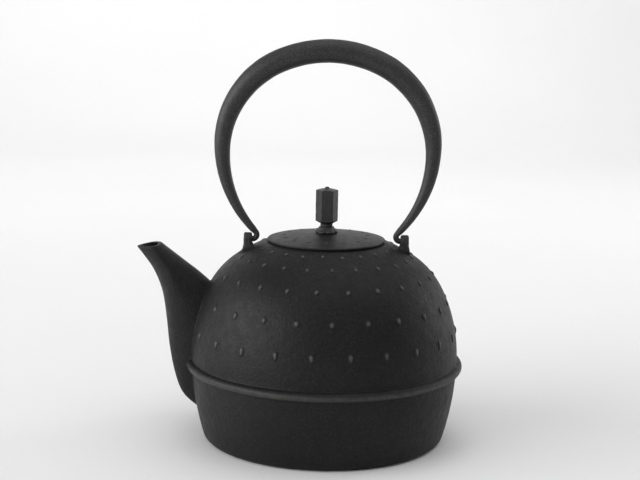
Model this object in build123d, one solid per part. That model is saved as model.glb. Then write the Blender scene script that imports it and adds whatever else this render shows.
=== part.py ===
from build123d import *
import os
from math import asin, cos, degrees, radians, sin

# Cast-iron teapot with a bail handle, a loose hexagonal lid knob and a lift-out strainer basket.
# Millimetres. The origin is the centre of the flat base, +Z is up and the spout points along -X.
# The handle stands in the XZ plane and swings about the hinge axis, which runs along X.

# ---- pot: tangent arcs of the outside, from the widest ring up to the mouth and down to the base
WIDEST_R = 80.8            # radius of the wall at its widest
WIDEST_Z = 52.0            # height of the widest ring
LOWER_ARC_R = 168.0        # wall below the widest ring
DOME_ARCS = [(90.4, 27.2), (49.0, 58.6), (114.0, 90.0)]   # radius, and the angle each arc ends at
WALL = 3.0
FLOOR = 4.0
BASE_EDGE_R = 5.0          # rounding where the wall meets the base
FLOOR_EDGE_R = 8.0         # rounding inside, where the wall meets the floor
RIB_CREST_R = 84.0
RIB_Z = 46.5
RIB_BEAD_R = 2.8

# ---- mouth: a flat lip, a rebate for the basket's rim and a thick collar under both
LIP_OUTER_R = 36.4
REBATE_R = 33.3
REBATE_DEPTH = 1.2
MOUTH_R = 30.5
COLLAR_BOTTOM_Z = 116.5

# ---- spout: each section runs from the outer edge (x, z) to the upper edge (x, z); then its half width
SPOUT_SECTIONS = [
    ((-74.0, 14.0), (-64.0, 90.0), 14.6),
    ((-85.9, 24.4), (-70.5, 95.7), 14.8),
    ((-91.2, 37.5), (-77.0, 101.3), 14.5),
    ((-94.5, 54.5), (-84.0, 106.5), 13.8),
    ((-96.2, 71.0), (-90.0, 111.0), 12.8),
    ((-98.7, 88.2), (-95.5, 115.1), 11.2),
    ((-103.7, 101.3), (-100.5, 118.9), 9.8),
    ((-109.7, 110.2), (-104.5, 122.0), 8.6),
    ((-118.5, 121.4), (-112.0, 127.8), 7.3),
]
SPOUT_LIP = ((-114.3, 115.8), (-99.5, 118.1))    # the mouth is cut along this line
SPOUT_ROOT_WALL = 3.0
SPOUT_LIP_WALL = 1.8

# ---- hinge: two cast lugs with a hole along X, and the hooked ends of the handle in them
HINGE_Z = 121.8
LUG_INNER_X = 45.3
LUG_OUTER_X = 49.1
LUG_EYE_R = 3.9
LUG_STEM_HALF = 3.9
LUG_CHAMFER_X = 1.0
LUG_CHAMFER_R = 1.0
LUG_ROOT_Z = 111.0
LUG_HOLE_R = 2.05
HOOK_WIRE_R = 1.7
HOOK_BEND_R = 2.6
HOOK_END_X = 48.8

# ---- handle: centreline of three tangent arcs on each side, thick at the top and thin at the hooks
BAIL_TOP_Z = 235.3
BAIL_TOP_ARC_R = 70.5
BAIL_WIDEST_X = 63.1
BAIL_WIDEST_Z = 176.5
BAIL_ARM_ARC_R = 72.1
BAIL_ARM_ARC_DEG = 42.2
# distance along the centreline from the top, and the rod's radius there
BAIL_RADII = [(0.0, 6.95), (20.0, 6.95), (40.0, 6.85), (57.0, 6.45), (72.0, 5.85), (96.0, 4.75),
              (121.0, 3.5), (137.0, 2.7), (149.0, 2.1)]
BAIL_BORE_WALL = 1.8
BAIL_BORE_STATIONS = 7     # the hollow ends where the rod gets too thin for it

# ---- lid
LID_R = 35.5
LID_RIM_BOTTOM_Z = 122.0
LID_RIM_TOP_Z = 122.8
LID_TOP_Z = 126.3
LID_PAD_R = 7.4            # flat pad under the knob's seat
LID_THICKNESS = 3.2
LID_SKIRT_OUTER_R = 26.4
LID_SKIRT_INNER_R = 24.2
LID_SKIRT_BOTTOM_Z = 113.0
LID_REST_RING = (33.6, 35.0)
PIN_HOLE_R = 2.3

# ---- knob on its seat, held by a rivet and a washer under the lid
SEAT_R = 7.0
SEAT_TOP_R = 4.4
SEAT_EDGE_Z = 127.4
SEAT_TOP_Z = 130.2
SEAT_LOBES = 6
KNOB_BOTTOM_Z = 130.4
KNOB_NECK_R = 3.7
KNOB_NECK_Z = 132.2
KNOB_CORNER_R = 6.8
KNOB_HEX_TURN = 2.0        # turn of the hexagon's corners from the X axis
KNOB_SHOULDER_Z = 134.0
KNOB_EAVES_Z = 151.7
KNOB_PEAK_Z = 153.6
KNOB_BOSS_R = 1.2
KNOB_TOP_Z = 154.3
RIVET_R = 2.0
RIVET_TOP_Z = 143.0
RIVET_HEAD_R = 4.2
RIVET_HEAD_Z = (120.1, 121.7)
WASHER_R = 7.0
WASHER_THICKNESS = 1.0

# ---- strainer basket
BASKET_R = 27.4
BASKET_SHEET = 0.5
BASKET_RIM_R = 33.0
BASKET_RIM_THICKNESS = 0.8
BASKET_BOTTOM_Z = 68.0


def ring_section(points):
    """Closed section of straight runs in the XZ plane, turned about Z into a solid."""
    outline = Polyline(*points, close=True)
    return revolve(Plane.XZ * make_face(outline), Axis.Z)


def turned(*lines):
    """Solid turned about Z from lines that join into one closed outline in the XZ plane."""
    outline = Wire([edge for line in lines for edge in line.edges()])
    return revolve(Plane.XZ * make_face(outline), Axis.Z)


def disc(radius, low_z, high_z):
    """Cylinder about Z between two heights."""
    return Pos(0, 0, low_z) * extrude(Circle(radius), high_z - low_z)


# -------------------------------------------------------------------------------- the casting
def wall_curves(inset):
    """Arcs of the wall, from the floor's plane up to the mouth, moved inwards by inset."""
    low_angle = degrees(asin(WIDEST_Z / (LOWER_ARC_R - inset)))
    low_centre = (WIDEST_R - LOWER_ARC_R, WIDEST_Z)
    curves = [CenterArc(low_centre, LOWER_ARC_R - inset, -low_angle, low_angle)]
    centre = Vector(WIDEST_R, WIDEST_Z)
    start = 0.0
    previous_r = 0.0
    for radius, end in DOME_ARCS:
        direction = Vector(cos(radians(start)), sin(radians(start)))
        centre = centre + direction * (previous_r - radius)
        curves.append(CenterArc(centre, radius - inset, start, end - start))
        start = end
        previous_r = radius
    return curves


def wall_of_revolution(inset, bottom_z, edge_r):
    """Solid of the pot's outline, closed at the top by its last arc, standing on bottom_z."""
    curves = wall_curves(inset)
    foot = curves[0] @ 0
    crown = curves[-1] @ 1
    closing = Polyline(foot, (-1, foot.Y), (-1, crown.Y), crown)
    outline = Wire(curves + list(closing.edges()))
    half_plane = Pos(WIDEST_R, bottom_z + WIDEST_R * 2) * Rectangle(WIDEST_R * 2, WIDEST_R * 4)
    section = make_face(outline) & half_plane
    solid = revolve(Plane.XZ * section, Axis.Z)
    rim = solid.edges().filter_by(GeomType.CIRCLE).group_by(Axis.Z)[0]
    return fillet(rim, edge_r)


def lip_height():
    """Height of the outside where it reaches the lip."""
    centre = wall_curves(0.0)[-1].arc_center
    return centre.Y + (DOME_ARCS[-1][0] ** 2 - (LIP_OUTER_R - centre.X) ** 2) ** 0.5


def cavity(lip_z):
    """Space inside: the wall's inner face, the mouth through the collar and the rebate."""
    hollow = wall_of_revolution(WALL, FLOOR, FLOOR_EDGE_R)
    hollow = hollow - disc(WIDEST_R, COLLAR_BOTTOM_Z, lip_z + 20)
    mouth = disc(MOUTH_R, COLLAR_BOTTOM_Z - 1, lip_z)
    rebate = disc(REBATE_R, lip_z - REBATE_DEPTH, lip_z)
    return hollow + mouth + rebate


def spout_section(outer, upper, half_width, wall):
    """Elliptical section across the spout, between its outer and its upper edge."""
    middle = Vector((outer[0] + upper[0]) / 2, 0, (outer[1] + upper[1]) / 2)
    along = Vector(upper[0] - outer[0], 0, upper[1] - outer[1])
    plane = Plane(origin=middle, x_dir=along, z_dir=along.cross(Vector(0, 1, 0)))
    return plane * Ellipse(along.length / 2 - wall, half_width - wall)


def spout_loft(root_wall, lip_wall):
    """Spout through all sections, thinner by a wall that changes evenly from root to lip."""
    steps = len(SPOUT_SECTIONS) - 1
    sections = []
    for index, (outer, upper, half_width) in enumerate(SPOUT_SECTIONS):
        wall = root_wall + (lip_wall - root_wall) * index / steps
        sections.append(spout_section(outer, upper, half_width, wall))
    return loft(sections)


def above_spout_lip():
    """Block that lies above the line of the spout's mouth."""
    outer, upper = SPOUT_LIP
    along = Vector(upper[0] - outer[0], 0, upper[1] - outer[1])
    plane = Plane(origin=(outer[0], 0, outer[1]), x_dir=along, z_dir=Vector(0, -1, 0).cross(along))
    return plane * Pos(0, 0, 20) * Box(120, 60, 40)


def lug_outline(inset):
    """Rounded eye on a narrower stem, seen along X, with every edge moved in by inset."""
    eye = Circle(LUG_EYE_R - inset)
    stem_height = HINGE_Z - LUG_ROOT_Z
    stem = Pos(0, -stem_height / 2) * Rectangle(2 * (LUG_STEM_HALF - inset), stem_height)
    return eye + stem


def lug():
    """Lug on the +X side, chamfered on its inner face to clear the handle's hook."""
    thick = LUG_OUTER_X - LUG_INNER_X - LUG_CHAMFER_X
    inner_plane = Plane(origin=(LUG_INNER_X, 0, HINGE_Z), x_dir=(0, 1, 0), z_dir=(1, 0, 0))
    full_plane = inner_plane.offset(LUG_CHAMFER_X)
    taper = loft([inner_plane * lug_outline(LUG_CHAMFER_R), full_plane * lug_outline(0.0)], ruled=True)
    body = taper + full_plane * extrude(lug_outline(0.0), thick)
    hole = inner_plane.offset(-5) * extrude(Circle(LUG_HOLE_R), LUG_OUTER_X)
    return body - hole


def pot_body(lip_z):
    """The one casting: wall, rib, spout and lugs."""
    outside = wall_of_revolution(0.0, 0.0, BASE_EDGE_R)
    outside = outside - disc(WIDEST_R, lip_z, lip_z + 20)
    rib = Pos(0, 0, RIB_Z) * Torus(RIB_CREST_R - RIB_BEAD_R, RIB_BEAD_R)
    spout = spout_loft(0.0, 0.0) - above_spout_lip()
    casting = outside + rib + spout + lug() + mirror(lug(), Plane.YZ)
    return casting - cavity(lip_z) - spout_loft(SPOUT_ROOT_WALL, SPOUT_LIP_WALL)


# --------------------------------------------------------------------------------- the handle
def bail_arm():
    """Centreline on the +X side, from the top to the straight run into the hook."""
    top_centre = Vector(0, BAIL_TOP_Z - BAIL_TOP_ARC_R)
    rise = BAIL_WIDEST_Z - top_centre.Y
    spare = BAIL_TOP_ARC_R ** 2 - BAIL_WIDEST_X ** 2 - rise ** 2
    side_r = spare / (2 * (BAIL_TOP_ARC_R - BAIL_WIDEST_X))
    side_centre = Vector(BAIL_WIDEST_X - side_r, BAIL_WIDEST_Z)
    across = side_centre - top_centre
    join = degrees(asin(across.Y / across.length))
    top = CenterArc(top_centre, BAIL_TOP_ARC_R, 90, join - 90)
    side = CenterArc(side_centre, side_r, join, -join)
    arm_centre = (BAIL_WIDEST_X - BAIL_ARM_ARC_R, BAIL_WIDEST_Z)
    arm = CenterArc(arm_centre, BAIL_ARM_ARC_R, 0, -BAIL_ARM_ARC_DEG)
    return Plane.XZ * Wire([top, side, arm])


def bail_station(path, distance, radius):
    """Round section of the handle at a distance from the top."""
    share = distance / path.length
    plane = Plane(origin=path @ share, x_dir=(0, 1, 0), z_dir=path % share)
    return plane * Circle(radius)


def hook_path(path):
    """Straight run from the arm's end, then the tight bend out through the lug."""
    arm_end = path @ 1
    heading = path % 1
    corner = arm_end + heading * ((HINGE_Z - arm_end.Z) / heading.Z)
    end = Vector(HOOK_END_X, 0, HINGE_Z)
    return arm_end, FilletPolyline(arm_end, corner, end, radius=HOOK_BEND_R)


def bail_loft(path, stations):
    """Handle's skin through round sections, from the left arm over the top to the right arm."""
    right = [bail_station(path, distance, radius) for distance, radius in stations]
    left = [mirror(section, Plane.YZ) for section in right[:0:-1]]
    return loft(left + right)


def handle():
    """Hollow bail: the skin, less its bore, and a hook at each end."""
    path = bail_arm()
    hook_run = hook_path(path)[1]
    straight = hook_run.edges()[0]
    bend = Wire(hook_run.edges()[1:])
    arm_end = BAIL_RADII[-1][0]
    skin = bail_loft(path, BAIL_RADII[:-1] + [(path.length, BAIL_RADII[-1][1])])
    thick_part = BAIL_RADII[:BAIL_BORE_STATIONS]
    bore_stations = [(distance, radius - BAIL_BORE_WALL) for distance, radius in thick_part]
    neck_planes = [Plane(origin=straight @ 0, x_dir=(0, 1, 0), z_dir=straight % 0),
                   Plane(origin=straight @ 1, x_dir=(0, 1, 0), z_dir=straight % 1)]
    neck = loft([neck_planes[0] * Circle(BAIL_RADII[-1][1]), neck_planes[1] * Circle(HOOK_WIRE_R)])
    hook = neck + sweep(neck_planes[1] * Circle(HOOK_WIRE_R), bend)
    return skin + hook + mirror(hook, Plane.YZ) - bail_loft(path, bore_stations)


# ------------------------------------------------------------------------------------ the lid
def lid(lip_z):
    """Low dome with a locating skirt and a ring that rests on the lip."""
    rise = LID_TOP_Z - LID_RIM_TOP_Z
    dome = ThreePointArc((LID_PAD_R, LID_TOP_Z - rise * (LID_PAD_R / LID_R) ** 2),
                         (LID_R * 0.6, LID_TOP_Z - rise * 0.36), (LID_R, LID_RIM_TOP_Z))
    pad_z = (dome @ 0).Y
    under_z = pad_z - LID_THICKNESS
    rest_in, rest_out = LID_REST_RING
    points = [(LID_R, LID_RIM_TOP_Z), (LID_R, LID_RIM_BOTTOM_Z), (rest_out, LID_RIM_BOTTOM_Z),
              (rest_out, lip_z), (rest_in, lip_z), (rest_in, LID_RIM_BOTTOM_Z - 0.2),
              (LID_SKIRT_OUTER_R, LID_RIM_BOTTOM_Z - 0.2), (LID_SKIRT_OUTER_R, LID_SKIRT_BOTTOM_Z),
              (LID_SKIRT_INNER_R, LID_SKIRT_BOTTOM_Z), (LID_SKIRT_INNER_R, under_z - 0.6),
              (WASHER_R + 2, under_z), (PIN_HOLE_R, under_z), (PIN_HOLE_R, pad_z), (LID_PAD_R, pad_z)]
    return turned(dome, Polyline(*points)), pad_z, under_z


def knob_seat(pad_z):
    """Flower-shaped seat: a scalloped disc that sweeps up to the knob's neck."""
    middle = (SEAT_TOP_R + 0.9, SEAT_EDGE_Z + 0.8)
    sweep_up = ThreePointArc((SEAT_R, SEAT_EDGE_Z), middle, (SEAT_TOP_R, SEAT_TOP_Z))
    points = [(SEAT_TOP_R, SEAT_TOP_Z), (PIN_HOLE_R, SEAT_TOP_Z), (PIN_HOLE_R, pad_z), (SEAT_R - 0.6, pad_z),
              (SEAT_R, pad_z + 0.6), (SEAT_R, SEAT_EDGE_Z)]
    seat = turned(sweep_up, Polyline(*points))
    notch_r = 1.2
    for index in range(SEAT_LOBES):
        turn = Rot(0, 0, 360 / SEAT_LOBES * (index + 0.5))
        seat -= turn * Pos(SEAT_R + notch_r * 0.6, 0, pad_z) * extrude(Circle(notch_r), SEAT_TOP_Z - pad_z)
    return seat


def knob():
    """Hexagonal bar cut from a turned blank: neck, sloping shoulder, low peak and a small boss."""
    blank_r = KNOB_CORNER_R + 0.2
    blank = ring_section([(0, KNOB_BOTTOM_Z), (KNOB_NECK_R, KNOB_BOTTOM_Z), (KNOB_NECK_R, KNOB_NECK_Z),
                          (blank_r, KNOB_SHOULDER_Z), (blank_r, KNOB_EAVES_Z), (KNOB_BOSS_R, KNOB_PEAK_Z),
                          (KNOB_BOSS_R, KNOB_TOP_Z - 0.3), (KNOB_BOSS_R - 0.4, KNOB_TOP_Z), (0, KNOB_TOP_Z)])
    bar = Rot(0, 0, KNOB_HEX_TURN) * extrude(RegularPolygon(KNOB_CORNER_R, 6), KNOB_TOP_Z)
    return (blank & bar) - disc(RIVET_R, KNOB_BOTTOM_Z, RIVET_TOP_Z)


def knob_rivet():
    """Rivet pressed into the knob, with its head under the washer."""
    low, high = RIVET_HEAD_Z
    return ring_section([(0, low), (RIVET_HEAD_R - 1.2, low), (RIVET_HEAD_R, high - 0.5),
                         (RIVET_HEAD_R, high), (RIVET_R, high), (RIVET_R, RIVET_TOP_Z), (0, RIVET_TOP_Z)])


def knob_washer(under_z):
    """Plain washer against the underside of the lid."""
    return disc(WASHER_R, under_z - WASHER_THICKNESS, under_z) - disc(PIN_HOLE_R, under_z - 5, under_z + 5)


# --------------------------------------------------------------------------------- the basket
def basket_rim(rebate_z):
    """Flat ring that hangs the basket in the rebate of the mouth."""
    inner_r = BASKET_R - BASKET_SHEET
    top_z = rebate_z + BASKET_RIM_THICKNESS
    return disc(BASKET_RIM_R, rebate_z, top_z) - disc(inner_r, rebate_z - 1, top_z + 1)


def basket_wall(rebate_z):
    """Sheet tube under the rim; its fine perforation is left out."""
    low_z = BASKET_BOTTOM_Z + BASKET_SHEET
    return disc(BASKET_R, low_z, rebate_z) - disc(BASKET_R - BASKET_SHEET, low_z - 1, rebate_z + 1)


def basket_floor():
    """Round sheet that closes the basket's bottom."""
    return disc(BASKET_R, BASKET_BOTTOM_Z, BASKET_BOTTOM_Z + BASKET_SHEET)


os.makedirs("parts", exist_ok=True)
lip_top_z = lip_height()
rebate_floor_z = lip_top_z - REBATE_DEPTH
lid_solid, lid_pad_z, lid_under_z = lid(lip_top_z)
nodes = {
    "pot_body": pot_body(lip_top_z),
    "handle": handle(),
    "lid": lid_solid,
    "knob_seat": knob_seat(lid_pad_z),
    "knob": knob(),
    "knob_rivet": knob_rivet(),
    "knob_washer": knob_washer(lid_under_z),
    "infuser_rim": basket_rim(rebate_floor_z),
    "infuser_wall": basket_wall(rebate_floor_z),
    "infuser_floor": basket_floor(),
}
for name, shape in nodes.items():
    export_step(shape, f"parts/{name}.step")
print("lip", round(lip_top_z, 3), "pad", round(lid_pad_z, 3), "underside", round(lid_under_z, 3))
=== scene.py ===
from math import asin, atan2, ceil, cos, degrees, hypot, pi, radians, sin, sqrt, tan

import bmesh
import bpy
from mathutils import Matrix, Vector, noise


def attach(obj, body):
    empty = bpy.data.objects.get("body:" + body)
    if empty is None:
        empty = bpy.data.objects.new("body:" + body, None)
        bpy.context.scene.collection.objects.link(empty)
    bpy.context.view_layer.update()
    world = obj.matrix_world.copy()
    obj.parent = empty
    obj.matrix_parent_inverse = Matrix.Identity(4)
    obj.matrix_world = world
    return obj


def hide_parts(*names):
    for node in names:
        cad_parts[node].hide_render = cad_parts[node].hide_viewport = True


# Cast-iron teapot. Lengths are millimetres until a mesh is handed over, and metres after that.
# The spout points along -X. An angle round the pot is measured from the spout towards +Y.
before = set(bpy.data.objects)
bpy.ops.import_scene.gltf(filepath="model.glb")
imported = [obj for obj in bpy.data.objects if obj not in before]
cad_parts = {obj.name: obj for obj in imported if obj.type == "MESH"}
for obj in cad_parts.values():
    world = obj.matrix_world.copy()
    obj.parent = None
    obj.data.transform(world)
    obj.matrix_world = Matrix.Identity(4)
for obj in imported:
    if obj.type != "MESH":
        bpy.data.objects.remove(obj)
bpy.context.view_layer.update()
MM = 0.001
NOISE_SEED = 1             # noise_vector would otherwise be seeded from the clock
noise.seed_set(NOISE_SEED)

# ---- the casting's outside: tangent arcs, as in the CAD part
WIDEST_R = 80.8
WIDEST_Z = 52.0
LOWER_ARC_R = 168.0
DOME_ARCS = [(90.4, 27.2), (49.0, 58.6), (114.0, 90.0)]   # radius, and the angle each arc ends at
WALL = 3.0
FLOOR = 4.0
BASE_EDGE_R = 5.0
FLOOR_EDGE_R = 8.0
RIB_CREST_R = 84.0
RIB_Z = 46.5
RIB_BEAD_R = 2.8
RIB_UPPER_FILLET = 0.8
RIB_LOWER_FILLET = 0.5
RIB_HIGHLIGHT = 0.55            # how strongly the crest is painted as a highlight, from 0 to 1
RIB_HIGHLIGHT_Z = 46.0
RIB_HIGHLIGHT_HALF = 1.9
LIP_OUTER_R = 36.4
REBATE_R = 33.3
REBATE_DEPTH = 1.2
MOUTH_R = 30.5
COLLAR_BOTTOM_Z = 116.5
EDGE_ROUNDING = 0.5

# ---- spout: outer edge (x, z), upper edge (x, z) and half width of each section
SPOUT_SECTIONS = [
    ((-74.0, 14.0), (-64.0, 90.0), 14.6),
    ((-85.9, 24.4), (-70.5, 95.7), 14.8),
    ((-91.2, 37.5), (-77.0, 101.3), 14.5),
    ((-94.5, 54.5), (-84.0, 106.5), 13.8),
    ((-96.2, 71.0), (-90.0, 111.0), 12.8),
    ((-98.7, 88.2), (-95.5, 115.1), 11.2),
    ((-103.7, 101.3), (-100.5, 118.9), 9.8),
    ((-109.7, 110.2), (-104.5, 122.0), 8.2),
    ((-118.5, 121.4), (-112.0, 127.8), 6.2),
]
SPOUT_LIP = ((-114.3, 116.0), (-99.5, 117.7))
SPOUT_ROOT_WALL = 3.0
SPOUT_LIP_WALL = 1.8
SPOUT_FILLET = 0.9
SPOUT_INNER_FILLET = 1.6
SPOUT_RIM_HEIGHT = 0.4
SPOUT_SKEW = 0.42          # how much wider the side towards the pot is than the outer side

# ---- mesh of the casting
COLUMNS = 264
ROW_STEP = 1.9             # distance between rows of the outside
DOME_ROWS = 49
HOLE_COLUMNS = 14          # columns each side of the spout that its patch replaces
HOLE_Z = (8.0, 104.0)
INNER_HOLE_Z = (10.0, 99.0)
SIDE_Z = (27.0, 84.0)      # between these heights the patch runs level from the wall to the spout
WALL_STEPS = 4
FILLET_STEPS = 6
SPOUT_STEPS = 26
RIM_STEPS = 6

# ---- relief dots: height on the pot, angle of the first dot, half width, half height, relief
DOT_COUNT = 23
DOT_ROWS = [(68.6, -5.0, 1.35, 2.1, 0.90), (86.5, 3.4, 1.4, 1.8, 0.90), (102.8, -4.0, 1.35, 1.6, 0.85),
            (113.2, 3.9, 1.3, 1.45, 0.70), (118.8, -2.6, 1.25, 1.4, 0.50)]
DOT_CUTS = 4
DOT_REACH = 1.2            # how far a dot's foot reaches, in its half widths
DOT_POWER = 1.1            # how the height falls off towards the dot's edge
DOT_TAILS = (0.45, 0.15)   # how far a dot is drawn out downwards, in the lowest row and in the others
LUG_CLEAR_TURN = radians(8)   # no top-row dot this near the spout's lug, where the arm comes down

# ---- lugs and handle
HINGE_Z = 121.8
LUG_X = (44.8, 49.8)
LUG_EYE_R = 3.9
LUG_ROOT_Z = 111.0
LUG_HOLE_R = 2.05
LUG_FLARE_Z = 119.3
LUG_FLARE = (2.2, 0.9)     # how far the foot spreads, inwards and outwards
LUG_EDGE_R = 1.3
LUG_SECTIONS = 56
# how much the lug's face is painted lighter, for the light it catches
LUG_PAINTED_LIGHT = 0.45
HOOK_WIRE_R = 1.7
HOOK_BEND_R = 2.6
HOOK_END_X = 48.8
BAIL_TOP_Z = 235.3
BAIL_TOP_ARC_R = 70.5
BAIL_WIDEST_X = 63.1
BAIL_WIDEST_Z = 176.5
BAIL_ARM_ARC_R = 72.1
BAIL_ARM_ARC_DEG = 42.2
BAIL_RADII = [(0.0, 6.95), (20.0, 6.95), (40.0, 6.85), (57.0, 6.45), (72.0, 5.85), (96.0, 4.75),
              (121.0, 3.5), (137.0, 2.7), (149.0, 2.1)]
BAIL_SEGMENTS = 56
BAIL_STEP = 1.3            # distance between stations
BAIL_SEAM_DEPTH = 0.30     # a short forging seam on the front of the grip

# ---- lid, knob, seat and what holds them
LID_R = 35.5
LID_RIM_Z = (122.0, 122.8)
LID_TOP_Z = 126.3
LID_PAD_R = 7.4
LID_THICKNESS = 3.2
LID_SKIRT_R = (24.2, 26.4)
LID_SKIRT_BOTTOM_Z = 113.0
LID_REST_RING = (33.6, 35.0)
LID_COLUMNS = 216
LID_DOTS = 15
LID_DOT_R = 25.4
LID_DOT_SIZE = (1.35, 1.25, 0.42)   # half width, half height along the dome, height
PIN_HOLE_R = 2.3
SEAT_R = 7.0
SEAT_TOP_R = 4.4
SEAT_EDGE_Z = 127.4
SEAT_TOP_Z = 130.2
SEAT_LOBES = 6
SEAT_LOBE_DEPTH = 0.17
KNOB_BOTTOM_Z = 130.4
KNOB_NECK_R = 3.7
KNOB_NECK_Z = 132.2
KNOB_CORNER_R = 6.8
KNOB_HEX_TURN = 2.0
KNOB_HEX_EDGE_R = 0.55
KNOB_COLUMNS = 144
KNOB_SHOULDER_Z = 134.0
KNOB_EAVES_Z = 152.2
KNOB_PEAK_Z = 153.6
KNOB_BOSS_R = 1.2
KNOB_TOP_Z = 154.3
RIVET_R = 2.0
RIVET_TOP_Z = 143.0
RIVET_HEAD_R = 4.2
RIVET_HEAD_Z = (120.1, 121.7)
WASHER_R = 7.0
WASHER_THICKNESS = 1.0

# ---- strainer basket
BASKET_R = 27.4
BASKET_SHEET = 0.5
BASKET_RIM_R = 33.0
BASKET_RIM_THICKNESS = 0.8
BASKET_BOTTOM_Z = 68.0
BASKET_HOLE_R = 0.75
BASKET_HOLE_PITCH = 2.9
BASKET_BAND = 3.0          # plain height above and below the holes

# ---- stage and camera, in metres and degrees
STAGE_FRONT_Y = -3.0
STAGE_BEND_Y = 1.4
STAGE_BEND_R = 0.9
STAGE_TOP_Z = 3.4
STAGE_HALF_WIDTH = 4.0
CAMERA_PLACE = (0.0, -0.900, 0.284)
CAMERA_TURN = 0.24
CAMERA_TILT = 79.78
CAMERA_ROLL = 1.01
CAMERA_LENS_MM = 85.2


# ---- mesh helpers
def arc(centre, radius, start, end, steps):
    """Points (r, z) along an arc, angles in degrees, both ends included."""
    turns = [radians(start + (end - start) * step / steps) for step in range(steps + 1)]
    return [(centre[0] + radius * cos(turn), centre[1] + radius * sin(turn)) for turn in turns]


def rounded(corners, steps=4):
    """Outline (r, z) through corners (r, z, rounding), with a support point beside each rounding."""
    outline = []
    for index, (r, z, rounding) in enumerate(corners):
        if rounding == 0 or index in (0, len(corners) - 1):
            outline.append((r, z))
            continue
        corner = Vector((r, z))
        back = Vector(corners[index - 1][:2]) - corner
        ahead = Vector(corners[index + 1][:2]) - corner
        room = min(back.length, ahead.length)
        back.normalize()
        ahead.normalize()
        half = back.angle(ahead) / 2
        reach = rounding / tan(half)
        centre = corner + (back + ahead).normalized() * (rounding / sin(half))
        first = (corner + back * reach - centre).normalized()
        last = (corner + ahead * reach - centre).normalized()
        swing = first.angle(last)
        supports = room > 2.5 * (reach + rounding)
        if supports:
            outline.append(tuple(corner + back * (reach + rounding * 0.4)))
        for step in range(steps + 1):
            share = step / steps
            spoke = (first * sin((1 - share) * swing) + last * sin(share * swing)) / sin(swing)
            outline.append(tuple(centre + spoke * rounding))
        if supports:
            outline.append(tuple(corner + ahead * (reach + rounding * 0.4)))
    return outline


def resampled(points, count):
    """The same line with a number of points at equal distances."""
    lengths = [0.0]
    for (r0, z0), (r1, z1) in zip(points, points[1:]):
        lengths.append(lengths[-1] + hypot(r1 - r0, z1 - z0))
    result = []
    index = 0
    for step in range(count):
        distance = lengths[-1] * step / (count - 1)
        while index < len(points) - 2 and lengths[index + 1] < distance:
            index += 1
        share = (distance - lengths[index]) / (lengths[index + 1] - lengths[index])
        (r0, z0), (r1, z1) = points[index], points[index + 1]
        result.append((r0 + (r1 - r0) * share, z0 + (z1 - z0) * share))
    return result


def smoothstep(value):
    """0 below 0, 1 above 1, and smooth between."""
    value = min(max(value, 0.0), 1.0)
    return value * value * (3 - 2 * value)


def around(r, angle, z):
    """Point at a distance from the axis, at an angle in radians from the spout's side."""
    return Vector((-r * cos(angle), r * sin(angle), z))


def turned_rows(bm, profile, columns):
    """Rows of vertices round the Z axis; a point on the axis gives a row of one vertex."""
    rows = []
    for r, z in profile:
        count = 1 if r < 1e-6 else columns
        rows.append([bm.verts.new(around(r, 2 * pi * column / columns, z)) for column in range(count)])
    return rows


def skin_pair(bm, low, high):
    """Faces between two closed rows; one of them may be a single vertex."""
    faces = []
    count = max(len(low), len(high))
    for column in range(count):
        after = (column + 1) % count
        corners = [low[column % len(low)], low[after % len(low)],
                   high[after % len(high)], high[column % len(high)]]
        corners = list(dict.fromkeys(corners))
        faces.append(bm.faces.new(corners))
    return faces


def skin_rows(bm, rows, closed=False):
    """Faces between each row and the next, and from the last to the first if closed."""
    pairs = list(zip(rows, rows[1:]))
    if closed:
        pairs.append((rows[-1], rows[0]))
    return [skin_pair(bm, low, high) for low, high in pairs]


def linked(name, data):
    """New object in the scene."""
    obj = bpy.data.objects.new(name, data)
    bpy.context.scene.collection.objects.link(obj)
    return obj


def piece(name, bm, body, nodes, material):
    """Turns a mesh in millimetres into a piece that rides on a body and stands for CAD nodes."""
    bmesh.ops.recalc_face_normals(bm, faces=bm.faces[:])
    bmesh.ops.scale(bm, vec=(MM, MM, MM), verts=bm.verts[:])
    mesh = bpy.data.meshes.new(name)
    bm.to_mesh(mesh)
    bm.free()
    mesh.materials.append(material)
    mesh.polygons.foreach_set("use_smooth", [True] * len(mesh.polygons))
    obj = linked(name, mesh)
    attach(obj, body)
    if nodes:
        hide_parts(*nodes)
    return obj


def turned_piece(name, outline, columns, body, nodes, material):
    """Piece turned about Z from a closed outline; an outline that ends on the axis is capped there."""
    bm = bmesh.new()
    rows = turned_rows(bm, outline, columns)
    skin_rows(bm, rows, closed=len(rows[0]) > 1)
    return piece(name, bm, body, nodes, material)


# ---- materials
# bare-iron colour, used to paint highlights on the rib's crest, the dots' tops and the lugs
PAINTED_HIGHLIGHT_IRON = (0.050, 0.049, 0.047)


def shader_nodes(name):
    """New material: its nodes, its links, the shader and the object coordinates."""
    material = bpy.data.materials.new(name)
    material.use_nodes = True
    nodes = material.node_tree.nodes
    place = nodes.new("ShaderNodeTexCoord").outputs["Object"]
    return material, nodes, material.node_tree.links, nodes["Principled BSDF"], place


def noise_node(nodes, links, place, per_metre, detail, roughness=0.5):
    """Noise with a number of features per metre of the object."""
    node = nodes.new("ShaderNodeTexNoise")
    node.inputs["Scale"].default_value = per_metre
    node.inputs["Detail"].default_value = detail
    node.inputs["Roughness"].default_value = roughness
    links.new(place, node.inputs["Vector"])
    return node.outputs["Fac"]


def ramp_node(nodes, links, value, stops):
    """Colour ramp with stops (position, grey or colour)."""
    node = nodes.new("ShaderNodeValToRGB")
    elements = node.color_ramp.elements
    while len(elements) < len(stops):
        elements.new(0.5)
    for element, (position, colour) in zip(elements, stops):
        element.position = position
        tint = (colour,) * 3 if isinstance(colour, float) else colour
        element.color = (*tint, 1.0)
    links.new(value, node.inputs["Fac"])
    return node.outputs["Color"]


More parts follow.
